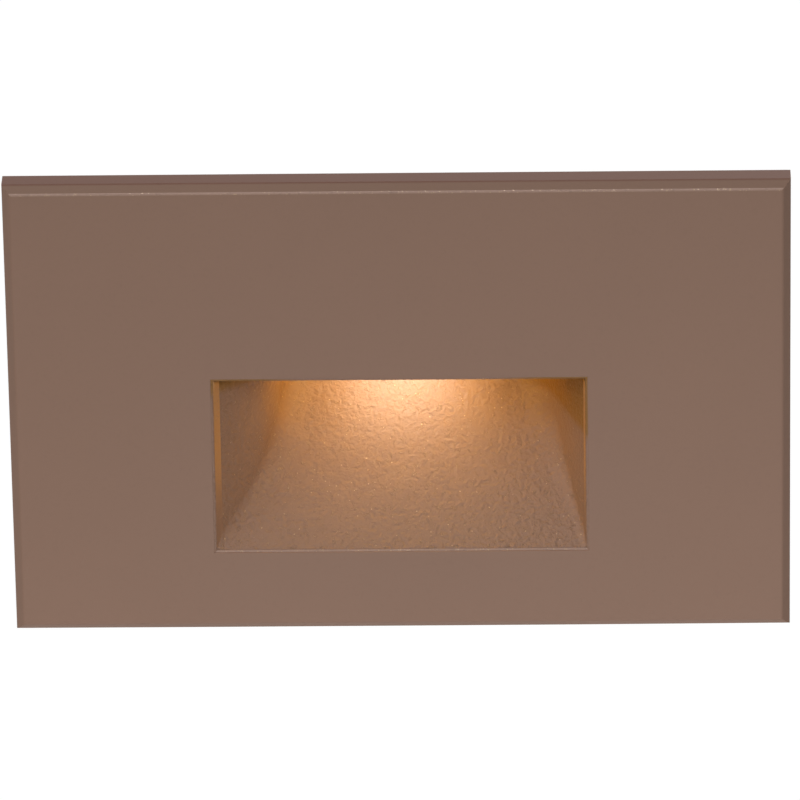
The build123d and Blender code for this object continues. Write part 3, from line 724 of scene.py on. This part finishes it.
# name, offset and tip in mm on x and y, size in mm, power in watts, colour, spread in degrees
scoop_lamps = (
    ("wide beam", (0.0, 0.0), (0.0, 0.0), (28, 8), 0.0096, (1.0, 0.53, 0.03), 180),
    ("middle beam", (0.0, 0.0), (0.0, 0.0), (28, 8), 0.0060, (0.98, 0.81, 0.23), 130),
    ("narrow beam", (0.0, 1.0), (0.0, 5.0), (14, 5), 0.0025, (0.74, 0.92, 0.98), 110),
)
for name, offset, tip, size, power, colour, spread in scoop_lamps:
    place = under_lens + Vector((*offset, 0)) * MM
    aim = place + Vector((*tip, aim_below)) * MM
    lamp = soft_lamp(name, place, aim, (size[0] * MM, size[1] * MM), power, colour, spread)
    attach(lamp, "light")
print("lens middle in mm:", [round(v / MM, 2) for v in lens_middle])

# %% [markdown]
# ## Dress the CAD nodes
# Each solid in the frame already has a finish name in its record. A copy could carry the finish,
# but most solids have the right shape as they are. So it goes straight on the solid's own
# material slot, which changes its look and leaves its shape to the CAD.

# %% Put a finish on every CAD node
def paint(piece, slot):
    """One finish all over a piece."""
    piece.data.materials.clear()
    piece.data.materials.append(finishes[slot])


slot_of = {part["node"]: part["material_slot"] for part in frame["record"]["subparts"]}
for name, node in nodes.items():
    paint(node, slot_of[name])
print("dressed:", len(slot_of))

# %% [markdown]
# ## Real edges
# A CAD edge is perfectly sharp, but no real edge is: coating rounds it, casting needs a radius and
# sheet metal is tumbled. That small round is what catches the light as a fine line. It could be
# faked in a shader, but a real bevel is part of the mesh itself. So each piece whose edges are seen
# is copied from its solid, its flat faces are merged again, and a narrow bevel goes on every edge
# that turns more than 30 degrees. On the plate, the small screw holes at its back would hold the
# bevel back, because it may not overlap itself, so there only the long edges in front get it.

# %% Helpers that copy a solid and mark its edges
same_point = 2e-6
flat_angle, sharp_angle = math.radians(1.0), math.radians(30.0)


def plain_mesh(piece):
    """Make the piece's evaluated shape its only mesh, with no modifiers left."""
    graph = bpy.context.evaluated_depsgraph_get()
    made = bpy.data.meshes.new_from_object(piece.evaluated_get(graph))
    piece.modifiers.clear()
    piece.data = made


def joined_copy(node_name):
    """A copy of a node's mesh, and its shape with the loose triangles joined."""
    mesh = nodes[node_name].data.copy()
    shape = bmesh.new()
    shape.from_mesh(mesh)
    bmesh.ops.remove_doubles(shape, verts=shape.verts, dist=same_point)
    return mesh, shape


def mark_sharp_edges(shape, in_front_of, shortest):
    """Give the bevel's weight to sharp edges that are long enough and far enough in front."""
    rounded = shape.edges.layers.float.new("bevel_weight_edge")
    for edge in shape.edges:
        in_front = max(corner.co.y for corner in edge.verts) < in_front_of
        if len(edge.link_faces) == 2 and in_front and edge.calc_length() > shortest:
            edge[rounded] = float(edge.calc_face_angle() > sharp_angle)


print("edges over", round(math.degrees(sharp_angle)), "degrees are rounded")


# %% A helper that rounds the edges of a copied solid
def rounded_copy(
    node_name, name, width, segments=3, merge_flats=True, edge_finish=None,
    in_front_of=1.0, shortest=0.0,
):
    """A node's copy with rounded edges, which stands for it. All lengths are in metres."""
    mesh, shape = joined_copy(node_name)
    if merge_flats:
        bmesh.ops.dissolve_limit(
            shape, angle_limit=flat_angle, verts=shape.verts, edges=shape.edges, delimit={"SEAM"}
        )
    mark_sharp_edges(shape, in_front_of, shortest)
    shape.to_mesh(mesh)
    shape.free()
    piece = linked(name, mesh)
    paint(piece, slot_of[node_name])
    bevel = piece.modifiers.new("rounded edges", "BEVEL")
    bevel.width = width
    bevel.segments = segments
    bevel.limit_method = "WEIGHT"
    bevel.use_clamp_overlap = shortest == 0.0
    bevel.miter_outer = "MITER_ARC"
    if edge_finish:
        mesh.materials.append(finishes[edge_finish])
        mesh.polygons.foreach_set("material_index", [0] * len(mesh.polygons))
        bevel.material = 1
    level = piece.modifiers.new("flat faces stay flat", "WEIGHTED_NORMAL")
    level.keep_sharp = True
    plain_mesh(piece)
    body = body_of(nodes[node_name])[0]
    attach(piece, body)
    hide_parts(node_name)
    print(name, "faces:", len(piece.data.polygons), "bevel mm:", round(width / MM, 2))
    return piece


# %% [markdown]
# ## Face plate
# The line where the plate's slanted rim meets its flat face shows bright along the top. A paler and
# smoother coat on that round paints the highlight. The bevel modifier can give its new faces a
# material of their own, which puts that finish on the rounds alone. Only the upper one keeps it,
# and the others get the plain coat back.

# %% Face plate
plate = rounded_copy(
    "face_plate", "face_plate_coated", 0.22 * MM, edge_finish="bronze_rim",
    in_front_of=-3.0 * MM, shortest=10.0 * MM,
)
# the upper round keeps the paler bronze_rim coat, a painted highlight
pale_depth, pale_height = plate_low.y + 0.3 * MM, plate_high.z - 3 * MM
for face in plate.data.polygons:
    if face.center.y > pale_depth or face.center.z < pale_height:
        face.material_index = 0
print("pale faces:", sum(face.material_index for face in plate.data.polygons))

# %% [markdown]
# ## The coat inside the scoop
# A casting's inside corners are never sharp, and powder gathers in them, so the fold between
# the floor and each cheek grows softer the deeper it runs. In the solid that fold has one small
# radius. Here the coat is its own thin skin, lofted from sections at growing depth: down one
# cheek, round the fold, across the sloping floor and up the other cheek. Lofting rows of points
# suits it better than this lesson's bevel, which has one radius all along an edge. The first
# rows are the narrow strips that lead in from the mouth, wider at the left.

# %% Sizes of the scoop, in millimetres
lip_depth, throat_depth, rear_depth = -4.7, -3.2, 24.8
lip_half, lip_floor, lip_top = 30.3, -25.35, 5.25
throat_left, throat_right, throat_top = -29.3, 29.95, 5.1
ceiling, ceiling_depth = 7.0, 3.0
ridge_depth, ridge_radius = 6.6, 14.0
slope_front, slope_rear, slope_right = 0.865, 0.16, 0.37
floor_lift, under_ceiling = 1.4, 0.02
lip_fold, throat_fold, deep_fold, fold_run, fold_share = 0.5, 1.5, 4.0, 12.0, 0.8


def left_cheek(y):
    """X of the left cheek: two slopes that meet in a round ridge."""
    ridge_x = throat_left + slope_front * (ridge_depth - throat_depth)
    front_angle, rear_angle = math.atan(slope_front), math.atan(slope_rear)
    tangent = ridge_radius * math.tan((front_angle - rear_angle) / 2)
    start_y = ridge_depth - tangent * math.cos(front_angle)
    end_y = ridge_depth + tangent * math.cos(rear_angle)
    if y <= start_y:
        return throat_left + slope_front * (y - throat_depth)
    if y >= end_y:
        return ridge_x + slope_rear * (y - ridge_depth)
    start_x = ridge_x - tangent * math.sin(front_angle)
    centre_x = start_x - ridge_radius * math.cos(front_angle)
    centre_y = start_y + ridge_radius * math.sin(front_angle)
    return centre_x + math.sqrt(ridge_radius ** 2 - (y - centre_y) ** 2)


# %% Sections of the scoop
def section(y, coat):
    """Left, right, floor, top and fold radius of the coat at depth y."""
    floor_here = lip_floor + (y - lip_depth)
    if y < throat_depth:
        out = (throat_depth - y) / (throat_depth - lip_depth)
        left = throat_left - out * (lip_half + throat_left)
        right = throat_right + out * (lip_half - throat_right)
        top = throat_top + out * (lip_top - throat_top)
        fold = lip_fold + (throat_fold - lip_fold) * (1 - out)
    else:
        left, right = left_cheek(y), throat_right - slope_right * (y - throat_depth)
        rise = min((y - throat_depth) / (ceiling_depth - throat_depth), 1.0)
        top = throat_top + (ceiling - throat_top) * rise
        deeper = min(max((y - throat_depth) / fold_run, 0.0), 1.0)
        fold = min(throat_fold + deep_fold * deeper * deeper, fold_share * (top - floor_here))
    return left + coat, right - coat, floor_here + coat * floor_lift, top - under_ceiling, fold


print("ridge at x", round(left_cheek(ridge_depth), 2))
print("rear section", [round(v, 2) for v in section(rear_depth, 0.05)])


# %% One row of points across the scoop
cheek_steps, fold_steps, floor_steps = 14, 8, 40
skin_coat = 0.05


def arc(centre_x, centre_z, radius, start, end):
    turns = [start + (end - start) * i / fold_steps for i in range(fold_steps + 1)]
    return [(centre_x + radius * math.cos(t), centre_z + radius * math.sin(t)) for t in turns]


def coat_row(y):
    """Down the left cheek, across the floor and up the right cheek, in metres."""
    left, right, low, top, fold = section(y, skin_coat)
    half_turn, three_quarters = math.pi, 1.5 * math.pi
    row = [(left, top + (low + fold - top) * i / cheek_steps) for i in range(cheek_steps)]
    row += arc(left + fold, low + fold, fold, half_turn, three_quarters)
    row += [
        (left + fold + (right - left - 2 * fold) * i / floor_steps, low)
        for i in range(1, floor_steps)
    ]
    row += arc(right - fold, low + fold, fold, three_quarters, 2 * math.pi)
    row += [
        (right, low + fold + (top - low - fold) * i / cheek_steps)
        for i in range(1, cheek_steps + 1)
    ]
    return [(x * MM, y * MM, z * MM) for x, z in row]


print("points in a row:", len(coat_row(throat_depth)))

# %% The rows as a lofted skin
steps, strip_steps, skin_start = 56, 4, -4.60
depths = [skin_start + (throat_depth - skin_start) * i / strip_steps for i in range(strip_steps)]
depths += [throat_depth + (rear_depth - throat_depth) * i / steps for i in range(steps + 1)]
rows = [coat_row(y) for y in depths]
across = len(rows[0])
right_cheek = across - 1 - cheek_steps
cells = [(r, c) for r in range(len(rows) - 1) for c in range(across - 1)]
quads = [
    (r * across + c, r * across + c + 1, (r + 1) * across + c + 1, (r + 1) * across + c)
    for r, c in cells
]
skin_mesh = bpy.data.meshes.new("scoop_coat")
skin_mesh.from_pydata([point for row in rows for point in row], [], quads)
skin_mesh.shade_smooth()
# the strips get bronze_edge, whose orange is painted lamp light
on_strip = [int(r < strip_steps and (c < cheek_steps or c >= right_cheek)) for r, c in cells]
skin_mesh.polygons.foreach_set("material_index", on_strip)
print("skin:", len(rows), "rows of", across, "points,", sum(on_strip), "faces on the strips")

# %% Sharp lines of the skin, and its thickness
for edge in skin_mesh.edges:
    (row_a, column_a), (row_b, column_b) = (divmod(corner, across) for corner in edge.vertices)
    along_throat = row_a == row_b == strip_steps
    at_end = row_a == row_b and row_a in (0, len(rows) - 1)
    on_cheeks = min(column_a, column_b) < cheek_steps or max(column_a, column_b) > right_cheek
    edge.use_edge_sharp = at_end or (along_throat and on_cheeks)


def thicken(piece, thickness):
    """Give an open skin a wall behind it, as a plain mesh."""
    wall = piece.modifiers.new("coat", "SOLIDIFY")
    wall.thickness = thickness
    wall.offset = -1.0
    plain_mesh(piece)


skin_mesh.materials.append(finishes["bronze_grain"])
skin_mesh.materials.append(finishes["bronze_edge"])
scoop_coat = linked("scoop_coat", skin_mesh)
thicken(scoop_coat, 0.3 * MM)
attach(scoop_coat, "light")
print("scoop coat:", len(scoop_coat.data.polygons), "faces")

# %% [markdown]
# ## The mouth's edge
# Where the plate's opening meets the scoop, the coat closes the seam in a fine round. Under the
# mouth that round faces up into the warm light and shows as a thin pale line, so its lower side has
# the rim's paler coat, a painted highlight, and the other three the scoop's. It is a loft of
# rectangles, one for each step round the edge. A bevel between two solids isn't possible, and one
# on the plate alone would leave the seam open. Its four sides are smooth along the round, and meet
# in sharp mitres at the corners.

# %% Rectangles round the mouth
# how far outside the lip each rectangle lies, and its depth, in mm
edge_profile = [
    (0.42, -4.82), (0.28, -4.81), (0.16, -4.78), (0.05, -4.73), (-0.04, -4.67), (-0.10, -4.60),
    (-0.13, -4.50),
]
edge_points, edge_faces, edge_mitres = [], [], []
for out, y in edge_profile:
    left, right, low, top = -lip_half - out, lip_half + out, lip_floor - out, lip_top + out
    corners = ((left, low), (right, low), (right, top), (left, top))
    edge_points += [(x * MM, y * MM, z * MM) for x, z in corners]
for loop in range(len(edge_profile) - 1):
    for side in range(4):
        a, b = loop * 4 + side, loop * 4 + (side + 1) % 4
        edge_faces.append((a, b, b + 4, a + 4))
        edge_mitres.append((a, a + 4))
edge_mesh = bpy.data.meshes.new("mouth_edge")
edge_mesh.from_pydata(edge_points, [], edge_faces)
print("mouth edge loops:", len(edge_profile))

# %% Round edge of the mouth
shape = bmesh.new()
shape.from_mesh(edge_mesh)
shape.verts.ensure_lookup_table()
for a, b in edge_mitres:
    shape.edges.get((shape.verts[a], shape.verts[b])).smooth = False
for edge in shape.edges:
    if edge.is_boundary:
        edge.smooth = False
# the lower side gets bronze_rim, whose paler coat is a painted highlight
for number, face in enumerate(shape.faces):
    face.smooth = True
    face.material_index = int(number % 4 == 0)  # each loop starts with its lower side
shape.to_mesh(edge_mesh)
shape.free()
edge_mesh.materials.append(finishes["bronze_grain"])
edge_mesh.materials.append(finishes["bronze_rim"])
mouth_edge = linked("mouth_edge", edge_mesh)
thicken(mouth_edge, 0.12 * MM)
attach(mouth_edge, "light")
print("mouth edge:", len(mouth_edge.data.polygons), "faces")

# %% [markdown]
# ## Castings, pressings and rubber at the back
# The cover is a die casting, the bracket a galvanised pressing and the grommet a rubber
# moulding. Each has its own edge: a casting keeps the radius of its mould, a pressing is only
# tumbled, and rubber has no sharp edge at all. The same helper makes them all, with a width
# for each that suits how the real piece is made. The bracket's flat faces have several holes
# each, which one merged face can't have, so they aren't merged.

# %% Rounded copies of the pieces behind the plate
edge_widths = (
    ("rear_cover", 0.30), ("wire_grommet", 0.22), ("ground_screw", 0.07), ("cover_screws", 0.06),
)
for node_name, width in edge_widths:
    rounded_copy(node_name, node_name + "_finished", width * MM)
rounded_copy("mounting_bracket", "mounting_bracket_finished", 0.14 * MM, merge_flats=False)

# %% [markdown]
# ## Screw threads
# In the solids a thread is a plain cylinder at its outer diameter. The real screws have a
# helical ridge. It repeats and follows a rule, which is what Geometry Nodes are for: a spiral
# curve carries a small pointed section, a core fills its middle, and one copy goes to each
# screw's place. Pitch, radii and length are inputs, so the tree would fit another screw too.

# %% A Geometry Nodes tree with named inputs
def geometry_tree(name, inputs):
    tree = bpy.data.node_groups.new(name, "GeometryNodeTree")
    tree.interface.new_socket("Geometry", in_out="INPUT", socket_type="NodeSocketGeometry")
    for label, kind, value in inputs:
        socket = tree.interface.new_socket(label, in_out="INPUT", socket_type=kind)
        if value is not None:
            socket.default_value = value
    tree.interface.new_socket("Geometry", in_out="OUTPUT", socket_type="NodeSocketGeometry")
    given = add_node(tree, "NodeGroupInput").outputs
    return tree, given, add_node(tree, "NodeGroupOutput").inputs


def lifted(tree, geometry, height):
    """The same geometry, moved up along Z."""
    lift = add_node(tree, "ShaderNodeCombineXYZ", "", {"Z": height}).outputs[0]
    return add_node(
        tree, "GeometryNodeTransform", "", {"Geometry": geometry, "Translation": lift}
    ).outputs["Geometry"]


thread_tree, given, result = geometry_tree("threaded shank", [
    ("Pitch", NUMBER, 0.8 * MM), ("Outer radius", NUMBER, 1.75 * MM),
    ("Core radius", NUMBER, 1.4 * MM), ("Length", NUMBER, 19 * MM),
    ("Along", VECTOR, (0.0, 1.0, 0.0)), ("Metal", "NodeSocketMaterial", None),
])
print("inputs of the tree:", list(given.keys()))

# %% The helical ridge and the core
tree = thread_tree
ridge_height = calculate(tree, "SUBTRACT", given["Outer radius"], given["Core radius"])
both_ends = calculate(tree, "MULTIPLY", ridge_height, 2.0)
run = calculate(tree, "SUBTRACT", given["Length"], both_ends)
spiral = add_node(tree, "GeometryNodeCurveSpiral", "helix", {
    "Resolution": 20, "Rotations": calculate(tree, "DIVIDE", run, given["Pitch"]),
    "Height": run, "Start Radius": given["Core radius"], "End Radius": given["Core radius"],
})
ridge = add_node(
    tree, "GeometryNodeCurvePrimitiveCircle", "ridge section",
    {"Resolution": 4, "Radius": ridge_height},
)
helix = add_node(tree, "GeometryNodeCurveToMesh", "", {
    "Curve": spiral.outputs["Curve"], "Profile Curve": ridge.outputs["Curve"], "Fill Caps": True,
})
core = add_node(tree, "GeometryNodeMeshCylinder", "core", {
    "Vertices": 28, "Radius": given["Core radius"], "Depth": given["Length"],
})
half_length = calculate(tree, "MULTIPLY", given["Length"], 0.5)
shank = add_node(tree, "GeometryNodeJoinGeometry")
feed(tree, shank.inputs["Geometry"], lifted(tree, helix.outputs["Mesh"], ridge_height))
feed(tree, shank.inputs["Geometry"], lifted(tree, core.outputs["Mesh"], half_length))
print("nodes for one shank:", len(tree.nodes))

# %% A copy at every point
turned = add_node(
    tree, "FunctionNodeAlignRotationToVector", "", {"Vector": given["Along"]}, axis="Z"
)
copies = add_node(tree, "GeometryNodeInstanceOnPoints", "", {
    "Points": given["Geometry"], "Instance": shank.outputs["Geometry"],
    "Rotation": turned.outputs["Rotation"],
})
real = add_node(
    tree, "GeometryNodeRealizeInstances", "", {"Geometry": copies.outputs["Instances"]}
)
metal_set = add_node(tree, "GeometryNodeSetMaterial", "", {
    "Geometry": real.outputs["Geometry"], "Material": given["Metal"],
})
feed(tree, result["Geometry"], metal_set.outputs["Geometry"])
print("tree:", tree.name, len(tree.nodes), "nodes")


# %% Run the tree on a piece
def grow(name, points, tree, values, body, finish):
    """A mesh of points, grown by a Geometry Nodes tree and turned into a plain mesh."""
    mesh = bpy.data.meshes.new(name)
    mesh.from_pydata(points, [], [])
    piece = linked(name, mesh)
    modifier = piece.modifiers.new(tree.name, "NODES")
    modifier.node_group = tree
    inputs = [item for item in tree.interface.items_tree if item.in_out == "INPUT"]
    sockets = {item.name: item.identifier for item in inputs}
    for label, value in values.items():
        modifier[sockets[label]] = value
    plain_mesh(piece)
    faces = piece.data.polygons
    faces.foreach_set("material_index", [0] * len(faces))
    paint(piece, finish)
    print(name, "faces:", len(faces))
    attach(piece, body)


# %% [markdown]
# ## Box screws
# The two screws that hold the bracket have a slotted head, which the solid shows well, and a
# long threaded shank, which it doesn't. So they are made of two pieces: the heads are the part
# of the solid in front of a plane, with rounded edges, and the shanks come from the tree.

# %% A helper that keeps one end of a solid
def cut_copy(node_name, name, point, direction, width, body):
    """The part of a solid on the far side of a plane from its direction, with rounded edges."""
    mesh, shape = joined_copy(node_name)
    cut = bmesh.ops.bisect_plane(
        shape, geom=shape.verts[:] + shape.edges[:] + shape.faces[:],
        plane_co=point, plane_no=direction, clear_outer=True,
    )
    rim = [item for item in cut["geom_cut"] if isinstance(item, bmesh.types.BMEdge)]
    bmesh.ops.holes_fill(shape, edges=rim)
    bmesh.ops.dissolve_limit(
        shape, angle_limit=flat_angle, verts=shape.verts, edges=shape.edges
    )
    shape.to_mesh(mesh)
    shape.free()
    piece = linked(name, mesh)
    bevel = piece.modifiers.new("rounded edges", "BEVEL")
    bevel.width = width
    bevel.segments = 2
    bevel.limit_method = "ANGLE"
    plain_mesh(piece)
    paint(piece, slot_of[node_name])
    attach(piece, body)
    print(name, "faces:", len(piece.data.polygons))
    return piece


# %% Box screws: heads from the solid, threads from the tree
head_radius, shank_start, head_end = 3.4 * MM, 0.1 * MM, 0.3 * MM
box_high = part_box("box_screws")[1]
screw_x = box_high.x - head_radius
heads = cut_copy(
    "box_screws", "box_screw_heads", (0, head_end, 0), (0, 1, 0), 0.08 * MM, "bracket"
)
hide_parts("box_screws")
grow(
    "box_screw_threads", [(-screw_x, shank_start, 0), (screw_x, shank_start, 0)], thread_tree,
    {"Pitch": 0.794 * MM, "Outer radius": 1.75 * MM, "Core radius": 1.38 * MM,
     "Length": box_high.y - shank_start, "Along": (0.0, 1.0, 0.0),
     "Metal": finishes["zinc_steel"]},
    "bracket", "zinc_steel",
)

# %% [markdown]
# ## Set screws
# The two set screws stand in blind threaded holes of the plate's lower edge, so on a closed
# light only their socket ends are seen. Backed out, each shows four millimetres of its side. The
# thread tree could dress that too, but the thread is so fine that here it stays plain. A narrow
# bevel catches the light round the six-sided socket.

# %% Set screws
for side in ("left", "right"):
    rounded_copy("set_screw_" + side, "set_screw_" + side + "_edges", 0.10 * MM, segments=2)

# %% [markdown]
# ## Measure
# The finished model has to stay inside the CAD box, because the physics model knows only that
# box.

# %% Sizes and the last line
low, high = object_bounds()
print("visual box in mm:", [round(v * 1000, 2) for v in (*low, *high)])
